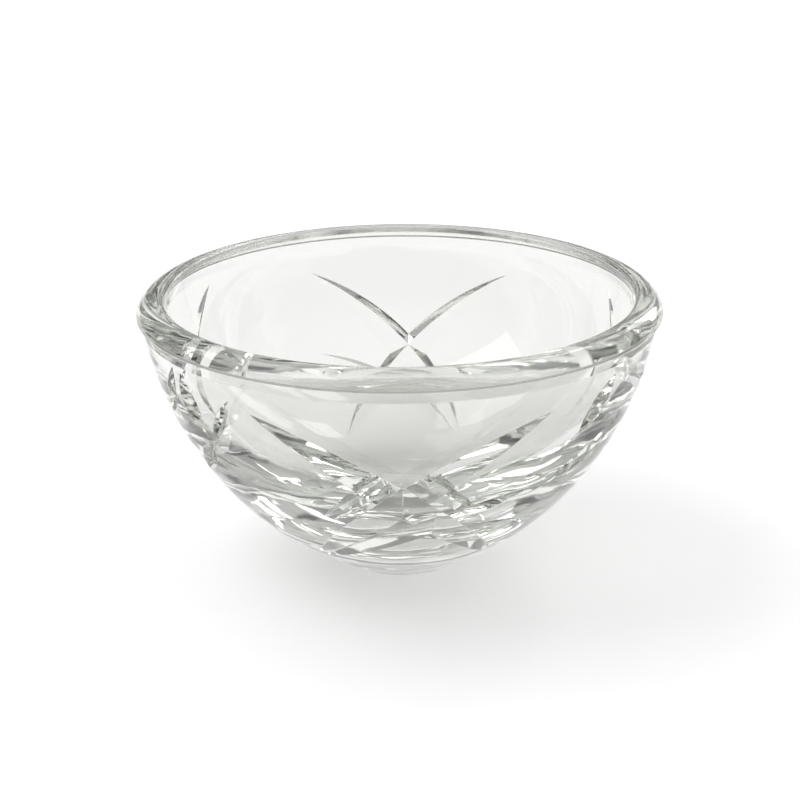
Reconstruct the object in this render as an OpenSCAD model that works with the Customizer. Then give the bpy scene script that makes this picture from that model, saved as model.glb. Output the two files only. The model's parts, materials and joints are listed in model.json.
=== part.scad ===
// Dappen dish: a small round bowl of clear cut crystal with a rolled rim, for holding liquids at a
// work table. It is one piece of glass. +Z is up, the origin is the centre of the flat base, and the
// front of the dish, where the pattern's first large cross sits, faces -Y. Millimetres throughout.

/* [Overall] */
// Outside diameter of the dish at its lip
rim_d = 60; // [50:1:80]
// Height from the table to the top of the rim
height = 32.5; // [31:0.5:34]

/* [Rim] */
// Radius of the round outer side of the lip
lip_round = 2.6; // [2.2:0.1:3]
// Radius of the round inner side of the lip
lip_inner_round = 0.8; // [0.4:0.1:1.2]
// Height of the lip band above its lower edge
lip_h = 1.9; // [1.4:0.1:2.2]
// How far the neck steps in under the lip
neck_step = 0.75; // [0.3:0.05:1]
// Height of the plain neck band between the lip and the cut body
neck_h = 1.3; // [0.8:0.1:2]

/* [Bowl] */
// Thickness of the glass under the middle of the bowl
bowl_floor = 7.5; // [5:0.1:10]

/* [Body] */
// Radius of the arc that bows the outside of the body
body_arc = 39.8; // [36:0.2:46]
// Diameter of the crisp edge where the body meets the bevel of the base
foot_d = 28.8; // [26:0.2:32]
// Height of the bevel between that edge and the flat base
bevel_h = 4.4; // [3.5:0.1:5.5]
// Diameter of the flat base that rests on the table
base_d = 15.6; // [12:0.2:20]

/* [Front and back crosses] */
// Angle round the dish from the middle of the front cross to its upper tips
cross_span = 33; // [28:1:36]
// The same angle for the back cross
back_span = 27; // [24:1:33]
// Depth of the two long cuts of a cross at their crossing
cross_depth = 1.5; // [1:0.05:1.6]
// Distance of the upper tips below the top of the rim
cross_top_drop = 6.1; // [5:0.1:8]
// Distance of the front crossing below the top of the rim
cross_mid_drop = 15.1; // [14:0.1:16]
// Distance of the back crossing below the top of the rim
back_mid_drop = 15.7; // [14:0.1:16]
// Depth of the lower cut that sweeps under the crossing
sweep_depth = 1.15; // [0.8:0.05:1.2]

/* [Side fans] */
// Depth of the short cuts of the fans
fan_depth = 0.9; // [0.6:0.05:1.2]
// Distance of the fans' upper tips below the top of the rim
fan_top_drop = 3.9; // [3.6:0.1:5]
// Depth of the two spikes beside the back cross
spike_depth = 0.6; // [0.4:0.05:0.8]

/* [Hidden] */
$fn = 96;
rim_r = rim_d / 2;
// The rim's highest circle, where its outer and inner rounds meet
crest_r = rim_r - lip_round;
// The bowl is part of a sphere that runs smoothly into the rim's inner round
round_z = height - lip_inner_round;
bowl_c = (crest_r ^ 2 / (round_z - bowl_floor + lip_inner_round) + round_z + bowl_floor - lip_inner_round) / 2;
bowl_r = bowl_c - bowl_floor;
join_z = bowl_c + (round_z - bowl_c) * bowl_r / (bowl_r + lip_inner_round);
lip_low = height - lip_h;
neck_low = lip_low - neck_h;
lip_low_r = crest_r + sqrt(lip_round ^ 2 - (lip_low - height + lip_round) ^ 2);
neck_r = lip_low_r - neck_step;
// The body's arc runs from the neck's lower edge to the foot's edge
shoulder = [neck_r + 0.1, neck_low];
foot = [foot_d / 2, bevel_h];
chord = shoulder - foot;
rise = sqrt(body_arc ^ 2 - norm(chord) ^ 2 / 4);
arc_c = (shoulder + foot) / 2 + rise * [-chord.y, chord.x] / norm(chord);
// How far the faces of a cut's tool reach from the bottom of its groove
reach = 6;

// Point on the uncut body at an angle round the dish from the front and a drop below the rim
function arc_r(z) = arc_c.x + sqrt(body_arc ^ 2 - (z - arc_c.y) ^ 2);
function on_body(a, drop) = let (r = arc_r(height - drop)) [r * sin(a), -r * cos(a), height - drop];
function outward(a, drop) = let (z = height - drop, r = arc_r(z) - arc_c.x)
    [r * sin(a), -r * cos(a), z - arc_c.y] / body_arc;

// One pointed leaf of a cut: a V groove whose bottom runs along a circle from tip p to tip q, sunk by
// deep under the body at m. Tips and m are [angle, drop]. up and low are the angles of the groove's
// upper and lower faces from the body's outward normal at m.
module leaf(p, m, q, deep, up = 50, low = 50) {
    a = on_body(p[0], p[1]);
    b = on_body(q[0], q[1]);
    c = on_body(m[0], m[1]) - deep * outward(m[0], m[1]);
    u = b - a;
    v = c - a;
    w = cross(u, v);
    centre = a + (v * v * cross(w, u) + u * u * cross(v, w)) / (2 * w * w);
    rad = norm(centre - a);
    k = w / norm(w) * (w.z < 0 ? -1 : 1);
    // A long cut curls round the dish, so its tool is a ring about the dish; a short one is a wheel
    side = (centre - c) * outward(m[0], m[1]) < 0 ? 1 : -1;
    // Angle of the outward normal from the circle's plane
    lean = asin(k * outward(m[0], m[1]));
    faces = [lean + up, lean - low];
    translate(centre) rotate([0, acos(k.z), atan2(k.y, k.x)]) rotate_extrude()
        polygon(concat([[rad, 0]], [for (t = faces) [rad + side * reach * cos(t), reach * sin(t)]]));
}

// Large cross with the low sweep under it. Its upper tips are span degrees either side of its middle and
// its arms cross at drop. The second arm passes a little lower than the first, so that the two grooves'
// bottoms cross beside their deepest points.
module cross_cuts(span, drop) {
    k = span / 33;
    leaf([-span, cross_top_drop], [0, drop], [43 * k, 27.9], cross_depth, 36, 63);
    leaf([-35 * k, 26.7], [0, drop + 0.3], [span, cross_top_drop], cross_depth, 36, 63);
    leaf([-33 * k, 27.3], [2 * k, drop + 5.5], [35 * k, drop + 0.5], sweep_depth, 38, 62);
}

// Fan of short cuts on the left of the front cross
module left_fan() {
    leaf([-56, fan_top_drop - 0.3], [-61, 7.2], [-67, 10.8], fan_depth, 38, 56);
    leaf([-53, fan_top_drop], [-51.5, 7.5], [-50, 11.4], fan_depth * 1.15, 50, 64);
    leaf([-38, fan_top_drop + 1.2], [-42.5, 8.1], [-47.5, 11.4], fan_depth * 0.8, 40, 52);
    leaf([-64, 17.7], [-55, 14.2], [-47.5, 11.3], fan_depth, 38, 60);
}

// Fan of short cuts on the right of the front cross
module right_fan() {
    leaf([36, 16.2], [49, 13.4], [62, 9.9], fan_depth * 1.1, 36, 62);
    leaf([51.5, fan_top_drop + 0.2], [47.5, 7.1], [43, 10.2], fan_depth * 1.05, 55, 55);
    leaf([55, fan_top_drop - 0.3], [67, 6.4], [80, 9.6], fan_depth * 1.15, 34, 62);
}

// Narrow upright spike on each side of the back cross
module spikes() {
    leaf([113, fan_top_drop + 0.4], [106, 7.4], [99, 10.6], spike_depth, 42, 42);
    leaf([-122, fan_top_drop + 0.4], [-114, 7.5], [-106, 10.8], spike_depth, 42, 42);
}

// The whole pattern. The back cross is a little off the opposite side of the front one.
module pattern() {
    cross_cuts(cross_span, cross_mid_drop);
    left_fan();
    right_fan();
    rotate(177) cross_cuts(back_span, back_mid_drop);
    spikes();
}

// Outside of the body below the lip, before it is cut
module body_outline() {
    intersection() {
        translate(arc_c) circle(body_arc);
        polygon([[0, 0], [base_d / 2, 0], foot, [rim_r, foot.y], [rim_r, neck_low], [0, neck_low]]);
    }
}

// Half section of the lip and the neck under it, down to the cut body
module lip_outline() {
    intersection() {
        union() {
            translate([crest_r, height - lip_round]) circle(lip_round);
            translate([0, lip_low]) square([crest_r, lip_h]);
        }
        translate([0, lip_low]) square([rim_r, lip_h]);
    }
    polygon([[0, neck_low], shoulder, [neck_r, lip_low], [0, lip_low]]);
}

// The hollow of the bowl, and the opening inside the rim's inner round above it
module bowl_outline() {
    intersection() {
        translate([0, bowl_c]) circle(bowl_r);
        square([rim_r, join_z]);
    }
    difference() {
        translate([0, join_z]) square([crest_r, rim_r]);
        translate([crest_r, round_z]) circle(lip_inner_round);
    }
}

module glass_dish() {
    color([0.86, 0.9, 0.88, 0.45]) difference() {
        union() {
            difference() {
                rotate_extrude() body_outline();
                pattern();
            }
            rotate_extrude() lip_outline();
        }
        rotate_extrude() bowl_outline();
    }
}

glass_dish();
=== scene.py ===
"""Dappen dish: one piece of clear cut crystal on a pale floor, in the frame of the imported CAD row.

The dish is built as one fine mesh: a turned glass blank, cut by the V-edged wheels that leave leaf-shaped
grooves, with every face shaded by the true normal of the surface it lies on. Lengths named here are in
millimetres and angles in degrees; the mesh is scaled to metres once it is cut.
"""

import json
import math

import bpy
import numpy as np
from mathutils import Matrix, Vector

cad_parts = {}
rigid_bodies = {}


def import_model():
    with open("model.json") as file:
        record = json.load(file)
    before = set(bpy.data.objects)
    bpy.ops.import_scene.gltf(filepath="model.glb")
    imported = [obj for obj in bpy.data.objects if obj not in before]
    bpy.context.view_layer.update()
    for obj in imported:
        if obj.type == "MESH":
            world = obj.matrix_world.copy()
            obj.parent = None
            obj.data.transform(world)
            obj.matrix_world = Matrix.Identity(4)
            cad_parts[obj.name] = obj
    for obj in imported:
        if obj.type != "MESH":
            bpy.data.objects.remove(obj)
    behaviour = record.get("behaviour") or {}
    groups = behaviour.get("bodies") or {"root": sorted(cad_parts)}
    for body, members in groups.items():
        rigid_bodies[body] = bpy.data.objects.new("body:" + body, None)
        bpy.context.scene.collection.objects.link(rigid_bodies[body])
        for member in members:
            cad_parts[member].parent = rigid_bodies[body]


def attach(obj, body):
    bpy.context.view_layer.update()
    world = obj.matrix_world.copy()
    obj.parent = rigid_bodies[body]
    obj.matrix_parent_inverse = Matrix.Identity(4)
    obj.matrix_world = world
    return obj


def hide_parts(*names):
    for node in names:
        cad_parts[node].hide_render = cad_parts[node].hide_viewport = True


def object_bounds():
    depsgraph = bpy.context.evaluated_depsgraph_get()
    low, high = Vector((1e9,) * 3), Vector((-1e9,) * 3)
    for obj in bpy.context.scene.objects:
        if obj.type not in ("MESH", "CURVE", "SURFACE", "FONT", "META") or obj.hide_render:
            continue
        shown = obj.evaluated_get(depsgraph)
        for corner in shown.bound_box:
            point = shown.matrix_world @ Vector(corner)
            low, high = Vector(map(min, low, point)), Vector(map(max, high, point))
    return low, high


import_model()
cad_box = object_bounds()

MM = 0.001

# ---------------------------------------------------------------- sizes of the dish, as the CAD has them
HEIGHT = cad_box[1][2] / MM
RIM_R = 30.0
LIP_ROUND = 2.6
LIP_INNER_ROUND = 0.8
LIP_H = 1.9
NECK_STEP = 0.75
NECK_H = 1.3
BOWL_FLOOR = 7.5
BODY_ARC = 39.8
FOOT = np.array([14.4, 4.4])
BASE_R = 7.8

CREST_R = RIM_R - LIP_ROUND
ROUND_Z = HEIGHT - LIP_INNER_ROUND
LIP_LOW = HEIGHT - LIP_H
NECK_LOW = LIP_LOW - NECK_H
LIP_LOW_R = CREST_R + math.sqrt(LIP_ROUND**2 - (LIP_LOW - HEIGHT + LIP_ROUND) ** 2)
NECK_R = LIP_LOW_R - NECK_STEP
_span = ROUND_Z - BOWL_FLOOR + LIP_INNER_ROUND
BOWL_C = (CREST_R**2 / _span + ROUND_Z + BOWL_FLOOR - LIP_INNER_ROUND) / 2
BOWL_R = BOWL_C - BOWL_FLOOR
JOIN_Z = BOWL_C + (ROUND_Z - BOWL_C) * BOWL_R / (BOWL_R + LIP_INNER_ROUND)

SHOULDER = np.array([NECK_R + 0.1, NECK_LOW])
_chord = SHOULDER - FOOT
_rise = math.sqrt(BODY_ARC**2 - _chord @ _chord / 4)
ARC_C = (SHOULDER + FOOT) / 2 + _rise * np.array([-_chord[1], _chord[0]]) / np.linalg.norm(_chord)


# ---------------------------------------------------------------- the cuts
def on_body(angle, drop):
    """The point on the uncut body at an angle round the dish from the front and a drop below the rim."""
    a, z = math.radians(angle), HEIGHT - drop
    r = ARC_C[0] + math.sqrt(BODY_ARC**2 - (z - ARC_C[1]) ** 2)
    return np.array([r * math.sin(a), -r * math.cos(a), z])


def outward(angle, drop):
    """The body's outward normal there."""
    p, a = on_body(angle, drop), math.radians(angle)
    r = math.hypot(p[0], p[1]) - ARC_C[0]
    return np.array([r * math.sin(a), -r * math.cos(a), p[2] - ARC_C[1]]) / BODY_ARC


class Leaf:
    """A pointed V groove. Its bottom runs along a circle from tip p to tip q, sunk by deep under the body
    at m. up and low are the angles of its upper and lower faces from the body's outward normal at m."""

    REACH = 6.0

    def __init__(self, p, m, q, deep, up, low, turn=0):
        spin = np.array(Matrix.Rotation(math.radians(turn), 3, "Z"))
        a, b = on_body(*p), on_body(*q)
        c = on_body(*m) - deep * outward(*m)
        u, v = b - a, c - a
        w = np.cross(u, v)
        if w[2] < 0:
            w = -w
        centre = a + (v @ v * np.cross(np.cross(u, v), u) + u @ u * np.cross(v, np.cross(u, v))) / (2 * w @ w)
        self.rad = np.linalg.norm(centre - a)
        self.side = 1 if (centre - c) @ outward(*m) < 0 else -1
        self.axis = spin @ (w / np.linalg.norm(w))
        self.centre = spin @ centre
        lean = math.asin((w / np.linalg.norm(w)) @ outward(*m))
        self.faces = (lean + math.radians(up), lean - math.radians(low))

    def tool(self, name):
        """The wheel, or the ring where the cut curls round the dish, as a closed mesh."""
        steps = 720 if self.rad > 40 else 400
        across = Vector(self.axis).orthogonal().normalized()
        e1, e2 = np.array(across), np.cross(self.axis, np.array(across))
        t = np.linspace(0, 2 * math.pi, steps, endpoint=False)
        out = np.cos(t)[:, None] * e1 + np.sin(t)[:, None] * e2
        rings = [self.centre + self.rad * out]
        for x in self.faces:
            far = self.rad + self.side * self.REACH * math.cos(x)
            rings.append(self.centre + far * out + self.REACH * math.sin(x) * self.axis)
        verts = np.stack(rings, axis=1).reshape(-1, 3)
        faces = []
        for i in range(steps):
            j = (i + 1) % steps
            for k in range(3):
                quad = [3 * i + k, 3 * j + k, 3 * j + (k + 1) % 3, 3 * i + (k + 1) % 3]
                faces.append(quad[::-1] if self.side > 0 else quad)
        mesh = bpy.data.meshes.new(name)
        mesh.from_pydata(verts.tolist(), [], faces)
        return mesh

    def offsets(self, points):
        """Distance of points from the upper and the lower face, and those faces' normals out of the glass."""
        d = points - self.centre
        a = d @ self.axis
        flat = d - a[:, None] * self.axis
        rho = np.linalg.norm(flat, axis=1)
        out = flat / np.maximum(rho, 1e-9)[:, None]
        run = self.side * (rho - self.rad)
        result = []
        for x, sign in zip(self.faces, (1, -1)):
            far = np.abs(run * math.sin(x) - a * math.cos(x))
            far = np.where(run * math.cos(x) + a * math.sin(x) > -0.02, far, 9.0)
            normal = sign * (math.sin(x) * self.side * out - math.cos(x) * self.axis)
            result.append((far, normal))
        return result


def cross(turn, span, drop):
    """The large cross and the low sweep under it, with the upper tips span degrees either side."""
    k = span / 33
    yield Leaf((-span, 6.1), (0, drop), (43 * k, 27.9), 1.5, 36, 63, turn)
    yield Leaf((-35 * k, 26.7), (0, drop + 0.3), (span, 6.1), 1.5, 36, 63, turn)
    yield Leaf((-33 * k, 27.3), (2 * k, drop + 5.5), (35 * k, drop + 0.5), 1.15, 38, 62, turn)


def cuts():
    """All the leaves: the front cross with a fan on each side, and the back cross between two spikes."""
    yield from cross(0, 33, 15.1)
    yield from cross(177, 27, 15.7)
    # the fan on the left of the front cross
    yield Leaf((-56, 3.6), (-61, 7.2), (-67, 10.8), 0.9, 38, 56)
    yield Leaf((-53, 3.9), (-51.5, 7.5), (-50, 11.4), 1.035, 50, 64)
    yield Leaf((-38, 5.1), (-42.5, 8.1), (-47.5, 11.4), 0.72, 40, 52)
    yield Leaf((-64, 17.7), (-55, 14.2), (-47.5, 11.3), 0.9, 38, 60)
    # the fan on its right
    yield Leaf((36, 16.2), (49, 13.4), (62, 9.9), 0.99, 36, 62)
    yield Leaf((51.5, 4.1), (47.5, 7.1), (43, 10.2), 0.945, 55, 55)
    yield Leaf((55, 3.6), (67, 6.4), (80, 9.6), 1.035, 34, 62)
    # a narrow upright spike on each side of the back cross
    yield Leaf((113, 4.3), (106, 7.4), (99, 10.6), 0.6, 42, 42)
    yield Leaf((-122, 4.3), (-114, 7.5), (-106, 10.8), 0.6, 42, 42)


# ---------------------------------------------------------------- the turned blank
def arc(centre, radius, start, end, steps):
    """Points of an arc in the half section, from angle start to angle end."""
    t = np.radians(np.linspace(start, end, steps))
    return [(centre[0] + radius * math.cos(x), centre[1] + radius * math.sin(x)) for x in t]


def angle_at(centre, point):
    """The angle at which a point of the half section lies from a centre."""
    return math.degrees(math.atan2(point[1] - centre[1], point[0] - centre[0]))


def half_section():
    """The blank's outline from the middle of the base, up the outside, over the rim and down the bowl."""
    lip_c = (CREST_R, HEIGHT - LIP_ROUND)
    inner_c = (CREST_R, ROUND_Z)
    bowl_c = (0, BOWL_C)
    points = [(r, 0.0) for r in np.linspace(0, BASE_R, 4)]
    points += [tuple(p) for p in np.linspace((BASE_R, 0), FOOT, 4)[1:]]
    points += arc(ARC_C, BODY_ARC, angle_at(ARC_C, FOOT), angle_at(ARC_C, SHOULDER), 72)[1:]
    points += [(NECK_R, LIP_LOW), (LIP_LOW_R, LIP_LOW)]
    points += arc(lip_c, LIP_ROUND, angle_at(lip_c, (LIP_LOW_R, LIP_LOW)), 90, 22)[1:]
    points += arc(inner_c, LIP_INNER_ROUND, 90, angle_at(inner_c, bowl_c), 12)[1:]
    points += arc(bowl_c, BOWL_R, angle_at(bowl_c, inner_c), -90, 72)[1:]
    points[-1] = (0.0, points[-1][1])
    return points


def turned(name, outline, steps=420):
    """A closed mesh turned about Z from a half section that starts and ends on the axis."""
    mid = outline[1:-1]
    t = np.linspace(0, 2 * math.pi, steps, endpoint=False)
    verts = [(0, 0, outline[0][1]), (0, 0, outline[-1][1])]
    for r, z in mid:
        verts += [(r * math.cos(x), r * math.sin(x), z) for x in t]
    faces = []
    for i in range(steps):
        j = (i + 1) % steps
        faces.append((0, 2 + j, 2 + i))
        last = 2 + (len(mid) - 1) * steps
        faces.append((1, last + i, last + j))
        for k in range(len(mid) - 1):
            a = 2 + k * steps
            faces.append((a + i, a + j, a + steps + j, a + steps + i))
    mesh = bpy.data.meshes.new(name)
    mesh.from_pydata(verts, [], faces)
    return mesh


def blank_offsets(p):
    """Distance of points from each surface of the blank, and that surface's normal out of the glass."""
    r = np.hypot(p[:, 0], p[:, 1])
    safe = np.maximum(r, 1e-9)
    radial = np.stack([p[:, 0] / safe, p[:, 1] / safe, np.zeros(len(p))], axis=1)
    up = np.array([0.0, 0.0, 1.0])

    def ring(cr, cz, radius, sign=1, keep=True):
        n = (r - cr)[:, None] * radial + (p[:, 2] - cz)[:, None] * up
        size = np.linalg.norm(n, axis=1)
        return np.where(keep, np.abs(size - radius), 9.0), sign * n / np.maximum(size, 1e-9)[:, None]

    def cone(a, b, keep=True):
        t = np.array([b[0] - a[0], b[1] - a[1]]) / math.dist(a, b)
        n = np.array([t[1], -t[0]])
        far = np.abs((r - a[0]) * n[0] + (p[:, 2] - a[1]) * n[1])
        return np.where(keep, far, 9.0), n[0] * radial + n[1] * up

    z = p[:, 2]
    return [
        cone((0, 0), (BASE_R, 0), z < 0.02),
        cone((BASE_R, 0), FOOT, (z < FOOT[1] + 0.02) & (r < FOOT[0] + 0.02)),
        ring(*ARC_C, BODY_ARC, keep=(z > FOOT[1] - 0.02) & (z < NECK_LOW + 0.02) & (r > FOOT[0] - 0.1)),
        cone(SHOULDER, (NECK_R, LIP_LOW), (z > NECK_LOW - 0.02) & (z < LIP_LOW + 0.02)),
        cone((NECK_R, LIP_LOW), (LIP_LOW_R, LIP_LOW), (z < LIP_LOW + 0.02) & (r > NECK_R - 0.02)),
        cone((0, NECK_LOW), (1, NECK_LOW), (z < NECK_LOW + 0.02) & (r > NECK_R - 3)),
        ring(CREST_R, HEIGHT - LIP_ROUND, LIP_ROUND, keep=(z > LIP_LOW - 0.02) & (r > CREST_R - 0.02)),
        ring(CREST_R, ROUND_Z, LIP_INNER_ROUND, keep=(z > JOIN_Z - 0.02) & (r < CREST_R + 0.02)),
        ring(0, BOWL_C, BOWL_R, sign=-1, keep=z < JOIN_Z + 0.02),
    ]


# ---------------------------------------------------------------- cutting
def cut_glass():
    """The blank with every leaf cut out of it, and the leaves."""
    scene = bpy.context.scene
    dish = bpy.data.objects.new("crystal_dish", turned("crystal_dish", half_section()))
    scene.collection.objects.link(dish)
    leaves = list(cuts())
    # no cut goes above the lower edge of the neck
    w = 2 * RIM_R
    below = bpy.data.meshes.new("below")
    below.from_pydata(
        [(x, y, z) for z in (-w, NECK_LOW) for x, y in ((-w, -w), (w, -w), (w, w), (-w, w))],
        [],
        [(3, 2, 1, 0), (4, 5, 6, 7), (0, 1, 5, 4), (1, 2, 6, 5), (2, 3, 7, 6), (3, 0, 4, 7)],
    )
    limit = bpy.data.objects.new("below", below)
    scene.collection.objects.link(limit)
    for i, leaf in enumerate(leaves):
        tool = bpy.data.objects.new(f"wheel_{i}", leaf.tool(f"wheel_{i}"))
        scene.collection.objects.link(tool)
        stop = tool.modifiers.new("stop", "BOOLEAN")
        stop.operation = "INTERSECT"
        stop.solver = "MANIFOLD"
        stop.object = limit
        cut = dish.modifiers.new(f"cut_{i}", "BOOLEAN")
        cut.operation = "DIFFERENCE"
        cut.solver = "MANIFOLD"
        cut.object = tool
    graph = bpy.context.evaluated_depsgraph_get()
    mesh = bpy.data.meshes.new_from_object(dish.evaluated_get(graph))
    dish.modifiers.clear()
    old = dish.data
    dish.data = mesh
    bpy.data.meshes.remove(old)
    for tool in [limit] + [bpy.data.objects[f"wheel_{i}"] for i in range(len(leaves))]:
        data = tool.data
        bpy.data.objects.remove(tool)
        bpy.data.meshes.remove(data)
    return dish, leaves


def true_normals(mesh, leaves):
    """Each face's corners take the normals of the exact surface that the face lies on."""
    n_poly = len(mesh.polygons)
    centres = np.empty(n_poly * 3)
    mesh.polygons.foreach_get("center", centres)
    centres = centres.reshape(-1, 3)
    flat = np.empty(n_poly * 3)
    mesh.polygons.foreach_get("normal", flat)
    flat = flat.reshape(-1, 3)

    def surfaces(points):
        rows = blank_offsets(points)
        for leaf in leaves:
            rows += leaf.offsets(points)
        return rows

    rows = surfaces(centres)
    score = np.stack([far + 0.6 * np.maximum(0, 0.9 - (n * flat).sum(1)) for far, n in rows])
    pick = score.argmin(axis=0)

    n_loop = len(mesh.loops)
    starts = np.empty(n_poly, dtype=np.int32)
    totals = np.empty(n_poly, dtype=np.int32)
    mesh.polygons.foreach_get("loop_start", starts)
    mesh.polygons.foreach_get("loop_total", totals)
    face_of = np.repeat(np.arange(n_poly), totals)
    vert_of = np.empty(n_loop, dtype=np.int32)
    mesh.loops.foreach_get("vertex_index", vert_of)
    co = np.empty(len(mesh.vertices) * 3)
    mesh.vertices.foreach_get("co", co)
    at = co.reshape(-1, 3)[vert_of]
    normals = np.zeros((n_loop, 3))
    which = pick[face_of]
    every = surfaces(at)
    for k, (_, n) in enumerate(every):
        mine = which == k
        normals[mine] = n[mine]
    mesh.polygons.foreach_set("use_smooth", np.ones(n_poly, dtype=bool))
    mesh.normals_split_custom_set(normals.tolist())
    return score.min(axis=0)


dish, leaves = cut_glass()
fit = true_normals(dish.data, leaves)
print("dish faces", len(dish.data.polygons), "worst fit mm", round(float(fit.max()), 4))
dish.data.transform(Matrix.Scale(MM, 4))


# ---------------------------------------------------------------- material
def crystal():
    """Clear glass with a faint tint, a slight waviness and a few smears of wiping."""
    mat = bpy.data.materials.new("crystal")
    mat.use_nodes = True
    nt = mat.node_tree
    nt.nodes.clear()
    out = nt.nodes.new("ShaderNodeOutputMaterial")
    glass = nt.nodes.new("ShaderNodeBsdfPrincipled")
    glass.inputs["Transmission Weight"].default_value = 1.0
    glass.inputs["IOR"].default_value = 1.54
    glass.inputs["Base Color"].default_value = (0.85, 0.853, 0.832, 1)
    where = nt.nodes.new("ShaderNodeTexCoord")
    smear = nt.nodes.new("ShaderNodeTexNoise")
    smear.inputs["Scale"].default_value = 90
    smear.inputs["Detail"].default_value = 4
    rough = nt.nodes.new("ShaderNodeMapRange")
    rough.inputs["From Min"].default_value = 0.45
    rough.inputs["From Max"].default_value = 0.8
    rough.inputs["To Min"].default_value = 0.0
    rough.inputs["To Max"].default_value = 0.05
    nt.links.new(where.outputs["Object"], smear.inputs["Vector"])
    nt.links.new(smear.outputs["Fac"], rough.inputs["Value"])
    nt.links.new(rough.outputs["Result"], glass.inputs["Roughness"])
    # the polish leaves the face slightly wavy, and softens the edges of the cuts
    wave = nt.nodes.new("ShaderNodeTexNoise")
    wave.inputs["Scale"].default_value = 110
    wave.inputs["Detail"].default_value = 1.5
    soft = nt.nodes.new("ShaderNodeBevel")
    soft.samples = 4
    soft.inputs["Radius"].default_value = 0.14 * MM
    bump = nt.nodes.new("ShaderNodeBump")
    bump.inputs["Strength"].default_value = 1.0
    bump.inputs["Distance"].default_value = 0.12 * MM
    nt.links.new(where.outputs["Object"], wave.inputs["Vector"])
    nt.links.new(wave.outputs["Fac"], bump.inputs["Height"])
    nt.links.new(soft.outputs["Normal"], bump.inputs["Normal"])
    nt.links.new(bump.outputs["Normal"], glass.inputs["Normal"])
    nt.links.new(glass.outputs["BSDF"], out.inputs["Surface"])
    tint = nt.nodes.new("ShaderNodeVolumeAbsorption")
    tint.inputs["Color"].default_value = (0.88, 0.9, 0.85, 1)
    tint.inputs["Density"].default_value = 12
    nt.links.new(tint.outputs["Volume"], out.inputs["Volume"])
    return mat


dish.data.materials.clear()
dish.data.materials.append(crystal())
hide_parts("glass_dish")
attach(dish, "root")

# ---------------------------------------------------------------- floor, light and camera
RIM = RIM_R * MM
floor_mesh = bpy.data.meshes.new("floor")
half = 40 * RIM
# a hair below the base, so that the two flat faces don't fight
low = -0.05 * MM
corners = [(-half, -half, low), (half, -half, low), (half, half, low), (-half, half, low)]
floor_mesh.from_pydata(corners, [], [(0, 1, 2, 3)])
floor = bpy.data.objects.new("floor", floor_mesh)
bpy.context.scene.collection.objects.link(floor)
paper = bpy.data.materials.new("paper")
paper.use_nodes = True
matt = paper.node_tree.nodes["Principled BSDF"]
matt.inputs["Base Color"].default_value = (0.92, 0.92, 0.92, 1)
matt.inputs["Roughness"].default_value = 0.9
# the table glows a little from below, which keeps the shadow soft and pale
matt.inputs["Emission Color"].default_value = (1, 1, 1, 1)
matt.inputs["Emission Strength"].default_value = 0.32
floor_mesh.materials.append(paper)

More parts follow.
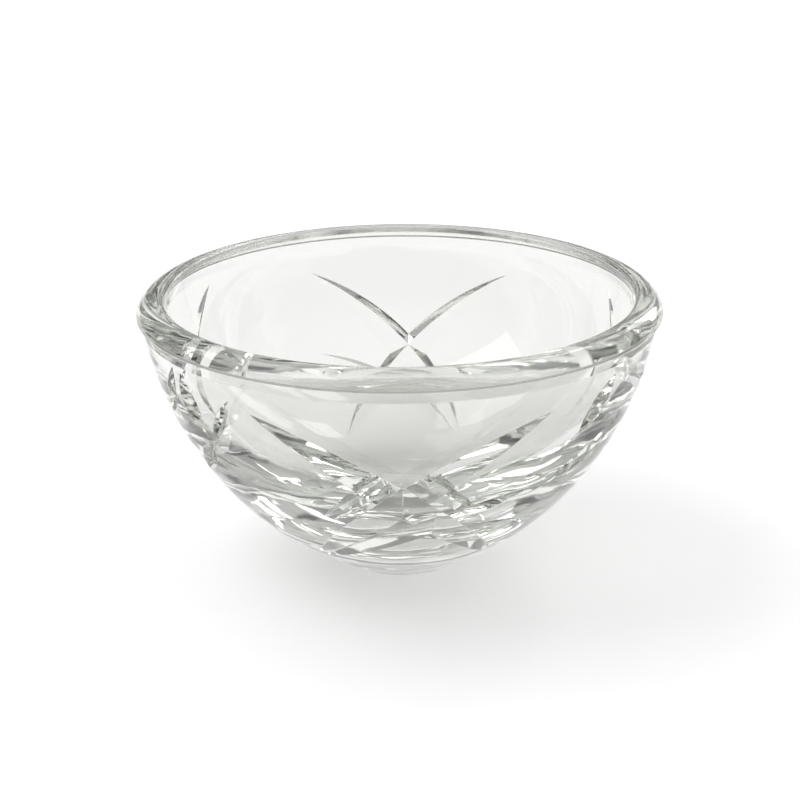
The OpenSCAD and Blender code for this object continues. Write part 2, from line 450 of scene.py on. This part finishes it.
def studio():
    """A pale room, brighter overhead. It is unlit low down behind the camera, and has a black card low on
    the right, which draws dark lines in the cuts."""
    world = bpy.data.worlds.new("studio")
    world.use_nodes = True
    nt = world.node_tree
    where = nt.nodes.new("ShaderNodeTexCoord")
    axes = nt.nodes.new("ShaderNodeSeparateXYZ")
    nt.links.new(where.outputs["Generated"], axes.inputs["Vector"])

    def ramp(source, low, high, first, last):
        """Smoothly from first at low to last at high."""
        node = nt.nodes.new("ShaderNodeMapRange")
        node.interpolation_type = "SMOOTHSTEP"
        node.inputs["From Min"].default_value = low
        node.inputs["From Max"].default_value = high
        node.inputs["To Min"].default_value = first
        node.inputs["To Max"].default_value = last
        nt.links.new(source, node.inputs["Value"])
        return node.outputs["Result"]

    def times(a, b):
        node = nt.nodes.new("ShaderNodeMath")
        node.operation = "MULTIPLY"
        nt.links.new(a, node.inputs[0])
        nt.links.new(b, node.inputs[1])
        return node.outputs["Value"]

    def inside(source, low, high, soft):
        """1 between low and high, falling to 0 over soft."""
        return times(ramp(source, low - soft, low, 0.0, 1.0), ramp(source, high, high + soft, 1.0, 0.0))

    overhead = ramp(axes.outputs["Z"], 0.0, 0.9, 0.3, 0.72)
    behind = ramp(axes.outputs["Y"], -0.6, 0.15, 1.0, 0.0)
    low_down = ramp(axes.outputs["Z"], 0.3, 0.75, 1.0, 0.0)
    unlit = ramp(times(behind, low_down), 0.0, 1.0, 1.0, 0.03)
    level = times(overhead, unlit)
    card = times(inside(axes.outputs["X"], 0.86, 1.1, 0.03), inside(axes.outputs["Z"], -0.2, 0.3, 0.05))
    level = times(level, ramp(card, 0.0, 1.0, 1.0, 0.02))
    # the camera itself only ever sees a pale backdrop past the table
    ray = nt.nodes.new("ShaderNodeLightPath")
    seen = nt.nodes.new("ShaderNodeMix")
    seen.inputs["B"].default_value = 0.95
    nt.links.new(ray.outputs["Is Camera Ray"], seen.inputs["Factor"])
    nt.links.new(level, seen.inputs["A"])
    nt.links.new(seen.outputs["Result"], nt.nodes["Background"].inputs["Strength"])
    nt.nodes["Background"].inputs["Color"].default_value = (1, 1, 1, 1)
    bpy.context.scene.world = world


def softbox(name, at, size, watts):
    """A flat lamp that faces the dish."""
    lamp = bpy.data.lights.new(name, "AREA")
    lamp.shape = "RECTANGLE"
    lamp.size, lamp.size_y = size
    lamp.energy = watts
    box = bpy.data.objects.new(name, lamp)
    bpy.context.scene.collection.objects.link(box)
    box.location = at
    box.rotation_euler = (-Vector(at)).to_track_quat("-Z", "Y").to_euler()


studio()
softbox("key", (-0.42, 0.06, 0.62), (0.6, 0.5), 2.0)
softbox("strip", (0.3, 0.42, 0.3), (0.1, 0.5), 0.5)

cam_data = bpy.data.cameras.new("camera")
cam = bpy.data.objects.new("camera", cam_data)
bpy.context.scene.collection.objects.link(cam)
bpy.context.scene.camera = cam
# The camera stands about seven rim radii off and looks a little down on the rim, as in a close product shot.
cam_data.sensor_width = 36
cam_data.lens = 82.3
cam_data.clip_start = 0.01
stand = Vector((0, -6.655 * RIM, HEIGHT * MM + 2.031 * RIM))
sight = Vector((-0.0002, 0.93667, -0.35020)).normalized()
right = Vector((0.99997, -0.00263, -0.00760))
upward = right.cross(sight).normalized()
right = sight.cross(upward).normalized()
cam.matrix_world = Matrix.Translation(stand) @ Matrix((right, upward, -sight)).transposed().to_4x4()

bpy.context.scene.view_settings.view_transform = "Standard"

# light goes round inside thick cut glass many times before it comes out
paths = bpy.context.scene.cycles
paths.max_bounces = 32
paths.glossy_bounces = 24
paths.transmission_bounces = 32
